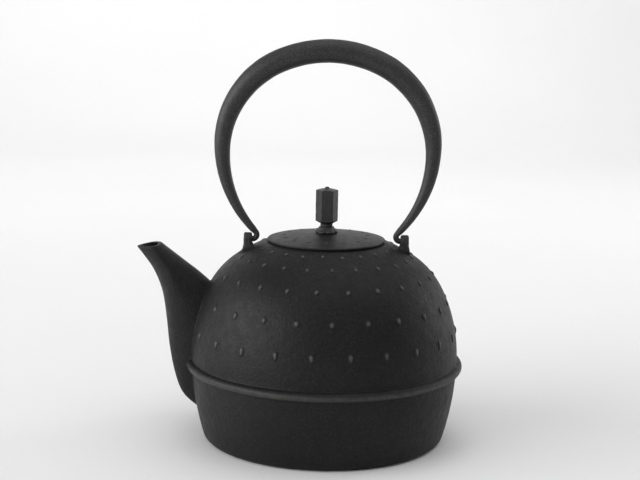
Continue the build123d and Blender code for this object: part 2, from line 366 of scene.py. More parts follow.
def bump_node(nodes, links, height, depth, strength, before=None):
    """Bump of a depth in millimetres, on top of an earlier bump."""
    node = nodes.new("ShaderNodeBump")
    node.inputs["Distance"].default_value = depth * MM
    node.inputs["Strength"].default_value = strength
    links.new(height, node.inputs["Height"])
    if before is not None:
        links.new(before, node.inputs["Normal"])
    return node.outputs["Normal"]


def feed(links, socket, value):
    """Links another node's result to a socket, or sets the socket to a constant."""
    if isinstance(value, bpy.types.NodeSocket):
        links.new(value, socket)
    else:
        socket.default_value = value


def math_node(nodes, links, operation, *values):
    """Result of a calculation with numbers or with other nodes' results."""
    node = nodes.new("ShaderNodeMath")
    node.operation = operation
    for socket, value in zip(node.inputs, values):
        feed(links, socket, value)
    return node.outputs[0]


def mix_node(nodes, links, blend, share, first, second):
    """Colour mixed from two colours; sockets 0, 6 and 7 are the share and the colours."""
    node = nodes.new("ShaderNodeMix")
    node.data_type = "RGBA"
    node.blend_type = blend
    for socket, value in ((0, share), (6, first), (7, second)):
        feed(links, node.inputs[socket], value)
    return node.outputs[2]


def iron(name, dark, light, roughness, grain, grain_depth, shine):
    """Sand-cast or forged iron under a thin matt black finish.

    grain is the size of the sand grains in millimetres and grain_depth their height. Where the
    layer painted_light is 1 the colour is painted as lighter, glossier bare iron: a painted highlight."""
    material, nodes, links, shader, place = shader_nodes(name)
    clouds = noise_node(nodes, links, place, 28.0, 3.0)
    sand = noise_node(nodes, links, place, 1000.0 / (grain * 2), 2.0, 0.6)
    lumps = noise_node(nodes, links, place, 1000.0 / (grain * 9), 3.0)
    pits = nodes.new("ShaderNodeTexVoronoi")
    pits.inputs["Scale"].default_value = 1000.0 / (grain * 4)
    links.new(place, pits.inputs["Vector"])
    colour = ramp_node(nodes, links, clouds, [(0.3, dark), (0.7, light)])
    speckle = ramp_node(nodes, links, sand, [(0.38, 0.6), (0.52, 1.0), (0.66, 2.0)])
    tint = mix_node(nodes, links, "MULTIPLY", 1.0, colour, speckle)
    attribute = nodes.new("ShaderNodeAttribute")
    attribute.attribute_name = "painted_light"
    patchy = ramp_node(nodes, links, lumps, [(0.35, 0.6), (0.6, 1.0)])
    painted_light = math_node(nodes, links, "MULTIPLY", attribute.outputs["Fac"], patchy)
    # painted highlight: the colour mixes towards bare iron where the painted_light layer is set
    highlight_tint = mix_node(nodes, links, "MIX", painted_light, tint, (*PAINTED_HIGHLIGHT_IRON, 1.0))
    links.new(highlight_tint, shader.inputs["Base Color"])
    gloss = math_node(nodes, links, "MULTIPLY_ADD", painted_light, 0.5 - shine, shine)
    links.new(gloss, shader.inputs["Specular IOR Level"])
    low, high = roughness
    links.new(ramp_node(nodes, links, lumps, [(0.3, low), (0.7, high)]), shader.inputs["Roughness"])
    normal = bump_node(nodes, links, lumps, grain_depth * 2.2, 0.6)
    normal = bump_node(nodes, links, pits.outputs["Distance"], grain_depth, 0.5, normal)
    normal = bump_node(nodes, links, sand, grain_depth, 1.0, normal)
    links.new(normal, shader.inputs["Normal"])
    return material


def steel(name, colour, roughness, scratch):
    """Bare satin metal with fine brushed lines round the part."""
    material, nodes, links, shader, place = shader_nodes(name)
    stretch = nodes.new("ShaderNodeMapping")
    stretch.inputs["Scale"].default_value = (0.15, 0.15, 1.0)
    links.new(place, stretch.inputs["Vector"])
    lines = noise_node(nodes, links, stretch.outputs["Vector"], 1000.0 / scratch, 3.0)
    clouds = noise_node(nodes, links, place, 60.0, 3.0)
    dim = tuple(channel * 0.8 for channel in colour)
    links.new(ramp_node(nodes, links, clouds, [(0.3, dim), (0.7, colour)]), shader.inputs["Base Color"])
    low, high = roughness
    links.new(ramp_node(nodes, links, lines, [(0.3, low), (0.7, high)]), shader.inputs["Roughness"])
    links.new(bump_node(nodes, links, lines, 0.02, 0.6), shader.inputs["Normal"])
    shader.inputs["Metallic"].default_value = 1.0
    return material


# ---- wall
def wall_arcs(inset):
    """Arcs of the wall moved in by inset: centre, radius, start and end angle, from the base up."""
    lower = LOWER_ARC_R - inset
    arcs = [((WIDEST_R - LOWER_ARC_R, WIDEST_Z), lower, -degrees(asin(WIDEST_Z / lower)), 0.0)]
    centre = Vector((WIDEST_R, WIDEST_Z))
    start = 0.0
    previous = 0.0
    for radius, end in DOME_ARCS:
        centre = centre + Vector((cos(radians(start)), sin(radians(start)))) * (previous - radius)
        arcs.append((tuple(centre), radius - inset, start, end))
        start = end
        previous = radius
    return arcs


ARCS = {0.0: wall_arcs(0.0), WALL: wall_arcs(WALL), BASE_EDGE_R: wall_arcs(BASE_EDGE_R),
        WALL + FLOOR_EDGE_R: wall_arcs(WALL + FLOOR_EDGE_R)}


def wall_arc_at(z, inset):
    """The arc of the wall at a height."""
    for found in ARCS[inset]:
        if z <= found[0][1] + found[1] * sin(radians(found[3])):
            return found
    return ARCS[inset][-1]


def wall_radius(z, inset=0.0):
    """Distance of the wall from the axis at a height."""
    (centre_r, centre_z), radius, _, _ = wall_arc_at(z, inset)
    return centre_r + sqrt(max(radius ** 2 - (z - centre_z) ** 2, 0.0))


def wall_normal(z, inset=0.0):
    """Outward direction (r, z) of the wall at a height."""
    (centre_r, centre_z), _, _, _ = wall_arc_at(z, inset)
    return Vector((wall_radius(z, inset) - centre_r, z - centre_z)).normalized()


def wall_line(low_z, high_z, inset):
    """Points (r, z) of the wall between two heights, from the lower one up."""
    points = []
    for centre, radius, start, end in ARCS[inset]:
        low = max(low_z, centre[1] + radius * sin(radians(start)))
        high = min(high_z, centre[1] + radius * sin(radians(end)))
        if low < high:
            first = degrees(asin((low - centre[1]) / radius))
            last = degrees(asin((high - centre[1]) / radius))
            points += arc(centre, radius, first, last, 40)[bool(points):]
    return points


def edge_round(base_z, rounding, inset):
    """Rounding between a floor at base_z and the wall: its centre and its end angle on the wall."""
    centre = (wall_radius(base_z + rounding, inset + rounding), base_z + rounding)
    hub = ARCS[inset][0][0]
    return centre, degrees(atan2(centre[1] - hub[1], centre[0] - hub[0]))


def rib_points():
    """The rib's outline from the wall below to the wall above: fillet, bead, wider fillet."""
    bead = Vector((RIB_CREST_R - RIB_BEAD_R, RIB_Z))
    points = []
    for fillet, side in ((RIB_LOWER_FILLET, -1), (RIB_UPPER_FILLET, 1)):
        wall_r = wall_radius(RIB_Z + side * (RIB_BEAD_R + fillet))
        reach = RIB_BEAD_R + fillet
        across = wall_r + fillet - bead.x
        centre = Vector((wall_r + fillet, bead.y + side * sqrt(reach ** 2 - across ** 2)))
        meet = degrees(atan2(bead.y - centre.y, bead.x - centre.x))
        if side < 0:
            points += arc(centre, fillet, 180.0, meet, 3)
            low_bead = meet - 180.0
        else:
            high_bead = meet + 180.0
            upper = arc(centre, fillet, meet + 360.0, 180.0, 5)
    points += arc(bead, RIB_BEAD_R, low_bead, high_bead, 14)[1:-1]
    return points + upper


LIP_Z = ARCS[0.0][-1][0][1] + sqrt(ARCS[0.0][-1][1] ** 2 - (LIP_OUTER_R - ARCS[0.0][-1][0][0]) ** 2)
REBATE_Z = LIP_Z - REBATE_DEPTH


def casting_profile():
    """The whole turned outline, outside then inside, and the rows where the two holes begin and end."""
    centre, wall_angle = edge_round(0.0, BASE_EDGE_R, 0.0)
    foot = arc(centre, BASE_EDGE_R, -90.0, wall_angle, 6)
    base = [(centre[0] * share, 0.0) for share in (0.0, 0.25, 0.5, 0.75, 0.95)]
    rib = rib_points()
    lower = wall_line(foot[-1][1], rib[0][1], 0.0)
    lower = resampled(lower, ceil((rib[0][1] - foot[-1][1]) / ROW_STEP))
    upper = wall_line(rib[-1][1], LIP_Z - 0.4, 0.0)
    upper = resampled(upper, DOME_ROWS)
    inner_top_r = wall_radius(COLLAR_BOTTOM_Z, WALL)
    fine = EDGE_ROUNDING * 0.6
    mouth = rounded([(*upper[-1], 0), (LIP_OUTER_R, LIP_Z, EDGE_ROUNDING), (REBATE_R, LIP_Z, fine),
                     (REBATE_R, REBATE_Z, 0.3), (MOUTH_R, REBATE_Z, fine),
                     (MOUTH_R, COLLAR_BOTTOM_Z, EDGE_ROUNDING), (inner_top_r, COLLAR_BOTTOM_Z, 0)], 3)[1:]
    rows = base + foot + lower[1:] + rib[1:] + upper[1:]
    bottom = next(index for index, (r, z) in enumerate(rows) if z > HOLE_Z[0])
    top = next(index for index, (r, z) in enumerate(rows) if z > HOLE_Z[1])
    first_rib = len(base + foot + lower[1:]) - 1
    centre, wall_angle = edge_round(FLOOR, FLOOR_EDGE_R, WALL)
    inner_foot = arc(centre, FLOOR_EDGE_R, -90.0, wall_angle, 6)
    span = top - bottom + 1
    inner = resampled(wall_line(INNER_HOLE_Z[1], COLLAR_BOTTOM_Z, WALL), 10)[::-1]
    holed = resampled(wall_line(INNER_HOLE_Z[0] + 1.5, INNER_HOLE_Z[1], WALL), span)[::-1]
    inner_top = len(rows) + len(mouth) + len(inner) - 2
    floor = [(centre[0] * share, FLOOR) for share in (0.95, 0.75, 0.5, 0.25, 0.0)]
    rows = rows + mouth + inner[1:] + holed[1:] + inner_foot[::-1][1:] + floor
    return rows, (bottom, top), (inner_top, inner_top + span - 1), (first_rib, first_rib + len(rib) - 1)


# ---- spout
def spline(values, t):
    """Smooth curve through values, at the place t counted in values."""
    index = min(int(t), len(values) - 2)
    u = t - index
    p1, p2 = values[index], values[index + 1]
    p0 = values[index - 1] if index > 0 else 2 * p1 - p2
    p3 = values[index + 2] if index + 2 < len(values) else 2 * p2 - p1
    return 0.5 * (2 * p1 + (p2 - p0) * u + (2 * p0 - 5 * p1 + 4 * p2 - p3) * u ** 2
                  + (3 * p1 - p0 - 3 * p2 + p3) * u ** 3)


def spout_numbers(root_wall, lip_wall):
    """Centre x and z, half axis x and z and half width of each section, thinner by a wall."""
    numbers = []
    last = len(SPOUT_SECTIONS) - 1
    for index, (outer, upper, half_width) in enumerate(SPOUT_SECTIONS):
        wall = root_wall + (lip_wall - root_wall) * index / last
        middle = (Vector(outer) + Vector(upper)) / 2
        half = (Vector(upper) - Vector(outer)) / 2
        half = half.normalized() * (half.length - wall)
        numbers.append((middle.x, middle.y, half.x, half.y, half_width - wall))
    return list(zip(*numbers))


def spout_point(numbers, t, turn):
    """Point of the spout's skin: t counts sections, turn runs from the upper edge round the +Y side."""
    middle_x, middle_z, half_x, half_z, width = (spline(values, t) for values in numbers)
    width *= 1 + SPOUT_SKEW * cos(turn)
    return Vector((middle_x + half_x * cos(turn), width * sin(turn), middle_z + half_z * cos(turn)))


def crossing(inside, low, high, steps=24):
    """Place between low and high where inside() stops being true."""
    for _ in range(steps):
        middle = (low + high) / 2
        if inside(middle):
            low = middle
        else:
            high = middle
    return (low + high) / 2


def leaves_wall(numbers, turn, inset):
    """Place along the spout where its skin comes out of the wall."""
    def inside(t):
        point = spout_point(numbers, t, turn)
        return hypot(point.x, point.y) < wall_radius(point.z, inset)
    t = 0.0
    while inside(t + 0.1):
        t += 0.1
    return crossing(inside, t, t + 0.1)


def reaches_lip(numbers, turn):
    """Place along the spout where its skin reaches the plane of its mouth."""
    (x0, z0), (x1, z1) = SPOUT_LIP

    def below(t):
        point = spout_point(numbers, t, turn)
        return point.z < z0 + (point.x - x0) * (z1 - z0) / (x1 - x0)
    return crossing(below, 4.0, 8.0)


def junction_table(numbers, inset, steps=120):
    """Along the line where spout and wall meet, from its lowest point: distance, height and turn."""
    table = []
    distance = 0.0
    before = None
    for step in range(steps + 1):
        turn = pi * (1 - step / steps)
        point = spout_point(numbers, leaves_wall(numbers, turn, inset), turn)
        if before is not None:
            distance += (point - before).length
        table.append((distance, point.z, turn))
        before = point
    return table


def looked_up(table, column, value, wanted):
    """Value of one column of a table where another column, which grows, has a value."""
    for low, high in zip(table, table[1:]):
        if high[column] >= value:
            share = (value - low[column]) / (high[column] - low[column])
            return low[wanted] + (high[wanted] - low[wanted]) * min(max(share, 0.0), 1.0)
    return table[-1][wanted]


def spout_patch(bm, grid, profile, hole, numbers, inset, fillet, rib=None):
    """Skin from the hole in the wall to the spout's mouth. Returns the row of vertices at the mouth."""
    low_row, high_row = sorted(hole, key=lambda row: profile[row][1])
    way = 1 if high_row > low_row else -1
    nodes = [(low_row, column) for column in range(HOLE_COLUMNS)]
    nodes += [(row, HOLE_COLUMNS) for row in range(low_row, high_row + way, way)]
    nodes += [(high_row, column) for column in range(HOLE_COLUMNS - 1, -1, -1)]
    plain_z = {}
    for row, column in nodes:
        plain_z[row] = profile[row][1]
    if rib:
        for row in range(rib[0], rib[1] + 1):
            share = (row - rib[0]) / (rib[1] - rib[0])
            plain_z[row] = profile[rib[0]][1] * (1 - share) + profile[rib[1]][1] * share
    table = junction_table(numbers, inset)
    level = [index for index, (row, column) in enumerate(nodes)
             if column == HOLE_COLUMNS and SIDE_Z[0] < plain_z[row] < SIDE_Z[1]]
    along = [0.0] * len(nodes)
    for index in level:
        along[index] = looked_up(table, 1, plain_z[nodes[index][0]], 0)
    first, last = level[0], level[-1]
    for index in range(first):
        along[index] = along[first] * index / first
    for index in range(last + 1, len(nodes)):
        share = (index - last) / (len(nodes) - 1 - last)
        along[index] = along[last] + (table[-1][0] - along[last]) * share
    lines = []
    for (row, column), distance in zip(nodes, along):
        turn = looked_up(table, 0, distance, 2)
        lines.append(patch_line(numbers, inset, fillet, turn, profile[row], plain_z[row], column))
    rings = [boundary_ring(grid, nodes)]
    for step in range(1, len(lines[0])):
        half = [line[step] for line in lines]
        mirrored = [Vector((point.x, -point.y, point.z)) for point in half[-2:0:-1]]
        rings.append([bm.verts.new(point) for point in half + mirrored])
    skin_rows(bm, rings)
    return rings[-1]


def boundary_ring(grid, nodes):
    """Vertices round the hole: the nodes on the +Y side, then the same on the -Y side, backwards."""
    ring = [grid[row][column] for row, column in nodes]
    return ring + [grid[row][-column] for row, column in nodes[-2:0:-1]]


def patch_line(numbers, inset, fillet, turn, wall_point, plain_z, column):
    """Points from the hole's edge over the wall, round the fillet and along the spout to its mouth."""
    t_meet = leaves_wall(numbers, turn, inset)
    meet = spout_point(numbers, t_meet, turn)
    meet_angle = atan2(meet.y, -meet.x)
    edge_angle = 2 * pi * column / COLUMNS
    bulge = Vector((wall_point[0] - wall_radius(plain_z, inset), wall_point[1] - plain_z))

    def on_wall(share):
        """On the wall, from the meeting line (0) to the hole's edge (1)."""
        angle = meet_angle + (edge_angle - meet_angle) * share
        z = meet.z + (plain_z - meet.z) * share
        return around(wall_radius(z, inset) + bulge.x, angle, z + bulge.y)
    edge = on_wall(1.0)
    reach = fillet / (on_wall(0.0) - edge).length
    points = [on_wall(1 - (1 - reach) * step / WALL_STEPS) for step in range(WALL_STEPS + 1)]
    normal = wall_normal(meet.z, inset)
    outward = around(normal.x, meet_angle, normal.y)
    heading = (spout_point(numbers, t_meet + 0.02, turn) - meet).normalized()
    run = fillet / max(heading.dot(outward), 0.42)

    def near(t):
        return (spout_point(numbers, t, turn) - meet).length < run
    t_lip = reaches_lip(numbers, turn)
    t_end = crossing(near, t_meet, min(t_meet + 3.0, t_lip))
    start, middle, end = points[-1], on_wall(0.0), spout_point(numbers, t_end, turn)
    for step in range(1, FILLET_STEPS + 1):
        u = step / FILLET_STEPS
        points.append(start * (1 - u) ** 2 + middle * (2 * u * (1 - u)) + end * u ** 2)
    for step in range(1, SPOUT_STEPS + 1):
        points.append(spout_point(numbers, t_end + (t_lip - t_end) * step / SPOUT_STEPS, turn))
    return points


def spout_rim(bm, outer, inner):
    """Rounded edge between the outer and the inner skin at the spout's mouth."""
    (x0, z0), (x1, z1) = SPOUT_LIP
    up = Vector((z0 - z1, 0, x1 - x0)).normalized()
    rings = [outer]
    for step in range(1, RIM_STEPS):
        turn = pi * step / RIM_STEPS
        ring = []
        for a, b in zip(outer, inner):
            middle = (a.co + b.co) / 2
            across = (a.co - b.co) / 2 * cos(turn)
            ring.append(bm.verts.new(middle + across + up * SPOUT_RIM_HEIGHT * sin(turn)))
        rings.append(ring)
    skin_rows(bm, rings + [inner])


# ---- casting
def painted_light_layer(bm):
    """How much painted light each vertex gets, from 0 to 1: a lighter bare-iron colour standing in for a
    highlight; the materials read it.
    """
    return bm.verts.layers.float.get("painted_light") or bm.verts.layers.float.new("painted_light")


def raise_dot(bm, faces, place, normal, up, half_width, half_height, height, tail):
    """Divides the faces under a relief dot more finely and raises them. A tail stretches it downwards."""
    painted_light = painted_light_layer(bm)
    edges = list(dict.fromkeys(edge for face in faces for edge in face.edges))
    new = bmesh.ops.subdivide_edges(bm, edges=edges, cuts=DOT_CUTS, use_grid_fill=True)
    verts = dict.fromkeys(vert for edge in new["geom_inner"] + new["geom"]
                          if isinstance(edge, bmesh.types.BMEdge) for vert in edge.verts)
    side = up.cross(normal)
    for vert in verts:
        offset = vert.co - place
        v = offset.dot(up) / half_height
        if v < 0:
            v /= 1 + tail
        u = offset.dot(side) / (half_width * (1 + tail * 0.5 * v))
        flat = u * u + v * v
        if flat < 1:
            vert.co += normal * height * (1 - flat) ** DOT_POWER
            # painted highlight: the dot's top gets the lighter, glossier bare-iron colour
            vert[painted_light] = smoothstep(1.15 - flat * 2.0)


def casting_dots(bm, cells, profile):
    """The staggered rows of relief dots on the dome, left out under the spout."""
    step = 2 * pi / COLUMNS
    clear = (HOLE_COLUMNS + 2) * step
    for index, (z, phase, half_width, half_height, relief) in enumerate(DOT_ROWS):
        for dot in range(DOT_COUNT):
            wobble = noise.noise_vector(Vector((index * 3.7, dot * 1.9, 0.5)))
            turn = radians(-90.0 - phase - dot * 360.0 / DOT_COUNT) + wobble.x * 0.012
            turn = (turn + pi) % (2 * pi) - pi
            height = z + wobble.y * 0.5
            if abs(turn) < clear and height < HOLE_Z[1] + 3:
                continue
            if abs(turn) < LUG_CLEAR_TURN and index == len(DOT_ROWS) - 1:
                continue
            flat_normal = wall_normal(height)
            normal = around(flat_normal.x, turn, flat_normal.y)
            up = around(-flat_normal.y, turn, flat_normal.x)
            place = around(wall_radius(height), turn, height)
            reach_w, reach_h = half_width * DOT_REACH, half_height * DOT_REACH
            near = []
            for row in range(cells["first"], cells["last"]):
                middle = (Vector(profile[row]) + Vector(profile[row + 1])) / 2
                offset = (middle - Vector((wall_radius(height), height))).length
                if abs(middle.y - height) > 6 or offset > reach_h * 1.25:
                    continue
                span = ceil(reach_w / (middle.x * step))
                centre = round(turn / step - 0.5)
                near += [cells[row, column % COLUMNS] for column in range(centre - span, centre + span + 1)]
            near = [face for face in near if face.is_valid]
            tail = DOT_TAILS[min(index, 1)]
            size = 1 + wobble.z * 0.12
            raise_dot(bm, near, place, normal, up, reach_w * size, reach_h * size, relief * size, tail)


def pot_body(material):
    """The casting: turned wall with rib, spout grown out of it through a fillet, and relief dots."""
    profile, hole, inner_hole, rib = casting_profile()
    bm = bmesh.new()
    painted_light = painted_light_layer(bm)
    grid = turned_rows(bm, profile, COLUMNS)
    # painted highlight along the rib's crest, drawn as lighter, glossier bare iron
    for row in range(*rib):
        crest_highlight = smoothstep(1.3 - abs(profile[row][1] - RIB_HIGHLIGHT_Z) / RIB_HIGHLIGHT_HALF)
        for column, vert in enumerate(grid[row]):
            vert[painted_light] = crest_highlight * (RIB_HIGHLIGHT + 0.15 * noise.noise(vert.co * 0.08))
    for low, high in (hole, inner_hole):
        for row in range(low + 1, high):
            for column in range(1 - HOLE_COLUMNS, HOLE_COLUMNS):
                bm.verts.remove(grid[row][column])
                grid[row][column] = None
    cells = {"first": hole[0], "last": len(profile)}
    for row in range(len(profile) - 1):
        low, high = grid[row], grid[row + 1]
        if min(len(low), len(high)) == 1:
            skin_pair(bm, low, high)
            continue
        holed = any(start <= row < end for start, end in (hole, inner_hole))
        for column in range(COLUMNS):
            if holed and (column < HOLE_COLUMNS or column >= COLUMNS - HOLE_COLUMNS):
                continue
            after = (column + 1) % COLUMNS
            cells[row, column] = bm.faces.new([low[column], low[after], high[after], high[column]])
    cells["last"] = next(row for row, (r, z) in enumerate(profile) if z >= LIP_Z - 0.5)
    outer = spout_patch(bm, grid, profile, hole, spout_numbers(0.0, 0.0), 0.0, SPOUT_FILLET, rib)
    numbers = spout_numbers(SPOUT_ROOT_WALL, SPOUT_LIP_WALL)
    inner = spout_patch(bm, grid, profile, inner_hole, numbers, WALL, SPOUT_INNER_FILLET)
    spout_rim(bm, outer, inner)
    casting_dots(bm, cells, profile)
    return piece("pot_casting", bm, "pot", ["pot_body"], material)


def pot_lug(name, side, material):
    """Lug with a hole along X, rounded over the eye and flared where it grows out of the wall."""
    inner_x, outer_x = LUG_X
    middle_x = (inner_x + outer_x) / 2
    rows = []
    bm = bmesh.new()
    painted_light = painted_light_layer(bm)
    for index in range(LUG_SECTIONS):
        turn = 2 * pi * index / LUG_SECTIONS
        reach = LUG_EYE_R
        if sin(turn) < 0:
            reach = min(LUG_EYE_R / max(abs(cos(turn)), 1e-6), (HINGE_Z - LUG_ROOT_Z) / -sin(turn))
        loop = rounded([(LUG_HOLE_R, middle_x, 0), (LUG_HOLE_R, outer_x, 0.35),
                        (reach, outer_x, LUG_EDGE_R), (reach, inner_x, LUG_EDGE_R),
                        (LUG_HOLE_R, inner_x, 0.35), (LUG_HOLE_R, middle_x, 0)])
        row = []
        for distance, x in loop[:-1]:
            y, z = distance * cos(turn), HINGE_Z + distance * sin(turn)
            flare = smoothstep((LUG_FLARE_Z - z) / 4.5)
            x += flare * (LUG_FLARE[1] if x > middle_x else -LUG_FLARE[0])
            grit = noise.noise_vector(Vector((x, y, z)) * 0.55 + Vector((side * 9.0, 0, 0))) * 0.16
            vert = bm.verts.new((side * (x + grit.x), y * (1 + 0.22 * flare) + grit.y, z + grit.z))
            # painted light: the lug above its foot is coloured as lit bare iron
            vert[painted_light] = LUG_PAINTED_LIGHT * (1 - flare)
            row.append(vert)
        rows.append(row)
    skin_rows(bm, rows, closed=True)
    return piece(name, bm, "pot", [], material)


# ---- handle
def smooth_value(knots, place):
    """Smooth curve through knots (place, value)."""
    for index in range(len(knots) - 1):
        if place <= knots[index + 1][0] or index == len(knots) - 2:
            break
    slopes = []
    for knot in (index, index + 1):
        low, high = knots[max(knot - 1, 0)], knots[min(knot + 1, len(knots) - 1)]
        slopes.append((high[1] - low[1]) / (high[0] - low[0]))
    (x0, y0), (x1, y1) = knots[index], knots[index + 1]
    width = x1 - x0
    u = min(max((place - x0) / width, 0.0), 1.0)
    return (y0 * (1 + 2 * u) * (1 - u) ** 2 + slopes[0] * width * u * (1 - u) ** 2
            + y1 * u * u * (3 - 2 * u) - slopes[1] * width * u * u * (1 - u))


def bail_line():
    """Stations of the +X side from the top to the hook's end: point (x, z), direction and radius."""
    top = Vector((0.0, BAIL_TOP_Z - BAIL_TOP_ARC_R))
    rise = BAIL_WIDEST_Z - top.y
    spare = BAIL_TOP_ARC_R ** 2 - BAIL_WIDEST_X ** 2 - rise ** 2
    side_r = spare / (2 * (BAIL_TOP_ARC_R - BAIL_WIDEST_X))
    side = Vector((BAIL_WIDEST_X - side_r, BAIL_WIDEST_Z))
    join = degrees(atan2((side - top).y, (side - top).x))
    arm = Vector((BAIL_WIDEST_X - BAIL_ARM_ARC_R, BAIL_WIDEST_Z))
    stations = []
    distance = 0.0
    for centre, radius, start, end in ((top, BAIL_TOP_ARC_R, 90.0, join), (side, side_r, join, 0.0),
                                       (arm, BAIL_ARM_ARC_R, 0.0, -BAIL_ARM_ARC_DEG)):
        length = radius * radians(start - end)
        steps = ceil(length / BAIL_STEP)
        for step in range(1 if stations else 0, steps + 1):
            turn = radians(start + (end - start) * step / steps)
            point = centre + Vector((cos(turn), sin(turn))) * radius
            thickness = smooth_value(BAIL_RADII, distance + length * step / steps)
            stations.append((point, Vector((sin(turn), -cos(turn))), thickness))
        distance += length
    arm_end, heading, arm_r = stations[-1]
    corner = arm_end + heading * ((HINGE_Z - arm_end.y) / heading.y)
    bend = heading.angle(Vector((1, 0)))
    cut = HOOK_BEND_R * tan(bend / 2)
    run = (corner - arm_end).length - cut
    for step in range(1, 6):
        thickness = arm_r + (HOOK_WIRE_R - arm_r) * step / 5
        stations.append((arm_end + heading * run * step / 5, heading, thickness))
    begin = stations[-1][0]
    square = Vector((-heading.y, heading.x))
    centre = begin + square * HOOK_BEND_R
    for step in range(1, 13):
        turn = bend * step / 12
        spoke = square * -cos(turn) + heading * sin(turn)
        ahead = heading * cos(turn) + square * sin(turn)
        stations.append((centre + spoke * HOOK_BEND_R, ahead, HOOK_WIRE_R))
    end = Vector((HOOK_END_X, HINGE_Z))
    begin = stations[-1][0]
    for share in (0.3, 0.6, 0.85, 0.93):
        stations.append((begin.lerp(end, share), Vector((1, 0)), HOOK_WIRE_R))
    for share, thinner in ((0.97, 0.93), (0.99, 0.8), (1.0, 0.55)):
        stations.append((begin.lerp(end, share), Vector((1, 0)), HOOK_WIRE_R * thinner))
    return stations


def handle(material):
    """Hollow bail, thick at the top, with a wire-thin hook at each end. It is hand-worked, not exact."""
    bm = bmesh.new()
    right = bail_line()
    sides = [(point, direction, radius, -1) for point, direction, radius in right[:0:-1]]
    sides += [(point, direction, radius, 1) for point, direction, radius in right]
    rows = []
    for point, direction, radius, side in sides:
        across = Vector((-direction.y, direction.x))
        row = []
        for segment in range(BAIL_SEGMENTS):
            turn = 2 * pi * segment / BAIL_SEGMENTS
            rim = Vector((across.x * cos(turn) * side, sin(turn), across.y * cos(turn)))
            centre = Vector((point.x * side, 0, point.y))
            place = centre + rim * radius
            uneven = noise.noise(place * 0.055) * 0.16 + noise.noise(place * 0.21) * 0.07
            seam = 0.0
            if rim.y <= 0:
                seam_turn = (place.z - centre.z) / radius
                seam = smoothstep(1 - abs(seam_turn + 0.42) / 0.10)
                seam *= smoothstep(1.6 - abs(place.x) / 9) * -BAIL_SEAM_DEPTH
            row.append(bm.verts.new(place + rim * (min(radius / 7, 1) * uneven + seam)))
        rows.append(row)
    skin_rows(bm, rows)
    for row, sign in ((rows[0], -1), (rows[-1], 1)):
        bm.faces.new(row if sign > 0 else row[::-1])
    return piece("bail_handle", bm, "handle", ["handle"], material)


# ---- lid
def lid_dome_z(r):
    """Height of the lid's top at a distance from the axis."""
    return LID_TOP_Z - (LID_TOP_Z - LID_RIM_Z[1]) * (r / LID_R) ** 2


def lid(material):
    """Cast disc: low dome with a rounded rim and a ring of small dots, skirt and rest ring below."""
    low_rim, high_rim = LID_RIM_Z
    pad_z = lid_dome_z(LID_PAD_R)
    under_z = pad_z - LID_THICKNESS
    edge_r = LID_R - 0.7
    dome = [LID_PAD_R + (edge_r - LID_PAD_R) * step / 20 for step in range(21)]
    inner_rest, outer_rest = LID_REST_RING
    inner_skirt, outer_skirt = LID_SKIRT_R
    under = rounded([(edge_r, lid_dome_z(edge_r), 0), (LID_R, high_rim - 0.1, 0.35), (LID_R, low_rim, 0.3),
                     (outer_rest, low_rim, 0), (outer_rest, LIP_Z, 0.2), (inner_rest, LIP_Z, 0.2),
                     (inner_rest, low_rim - 0.2, 0.2), (outer_skirt, low_rim - 0.2, 0.4),
                     (outer_skirt, LID_SKIRT_BOTTOM_Z, 0.4), (inner_skirt, LID_SKIRT_BOTTOM_Z, 0.4),
                     (inner_skirt, under_z - 0.6, 0.8), (WASHER_R + 2, under_z, 0),
                     (PIN_HOLE_R, under_z, 0.2), (PIN_HOLE_R, pad_z, 0.2), (LID_PAD_R, pad_z, 0)], 3)
    top = [(r, lid_dome_z(r)) for r in dome]
    outline = top + under[1:-1]
    bm = bmesh.new()
    painted_light_layer(bm)
    cells = skin_rows(bm, turned_rows(bm, outline, LID_COLUMNS), closed=True)
    step = 2 * pi / LID_COLUMNS
    half_width, half_height, height = LID_DOT_SIZE
    for dot in range(LID_DOTS):
        wobble = noise.noise_vector(Vector((7.3, dot * 1.7, 2.5)))
        turn = -pi / 2 + 2 * pi * dot / LID_DOTS + wobble.x * 0.04
        distance = LID_DOT_R + wobble.y * 0.9
        near = []
        for row in range(len(dome) - 1):
            if abs((dome[row] + dome[row + 1]) / 2 - distance) < 2.6:
                centre = round(turn / step - 0.5)
                near += [cells[row][column % LID_COLUMNS] for column in range(centre - 3, centre + 4)]
        place = around(distance, turn, lid_dome_z(distance))
        slope = lid_dome_z(distance + 0.5) - lid_dome_z(distance - 0.5)
        normal = around(-slope, turn, 1.0).normalized()
        up = around(-1.0, turn, -slope).normalized()
        raise_dot(bm, near, place, normal, up, half_width, half_height, height, 0.0)
    return piece("lid_casting", bm, "lid", ["lid"], material)


def hexagon_radius(turn, corner_r, rounding):
    """Distance of a rounded hexagon's edge from its centre, in a direction from one of its corners."""
    flat = corner_r * cos(pi / 6) - rounding
    hub = flat / cos(pi / 6)
    off = (turn + pi / 6) % (pi / 3) - pi / 6
    tangent = atan2(rounding * sin(pi / 6), hub + rounding * cos(pi / 6))
    if abs(off) < tangent:
        return hub * cos(off) + sqrt(rounding ** 2 - (hub * sin(off)) ** 2)
    return (flat + rounding) / cos(pi / 6 - abs(off))


def shaped_rows(bm, outline, shape):
    """Rows of vertices round the Z axis, from +X; shape(r, z, turn) gives the distance of each."""
    rows = []
    for r, z in outline:
        if r < 1e-6:
            rows.append([bm.verts.new((0, 0, z))])
            continue
        row = []
        for column in range(KNOB_COLUMNS):
            turn = 2 * pi * column / KNOB_COLUMNS
            wide = shape(r, z, turn)
            row.append(bm.verts.new((wide * cos(turn), wide * sin(turn), z)))
        rows.append(row)
    return rows


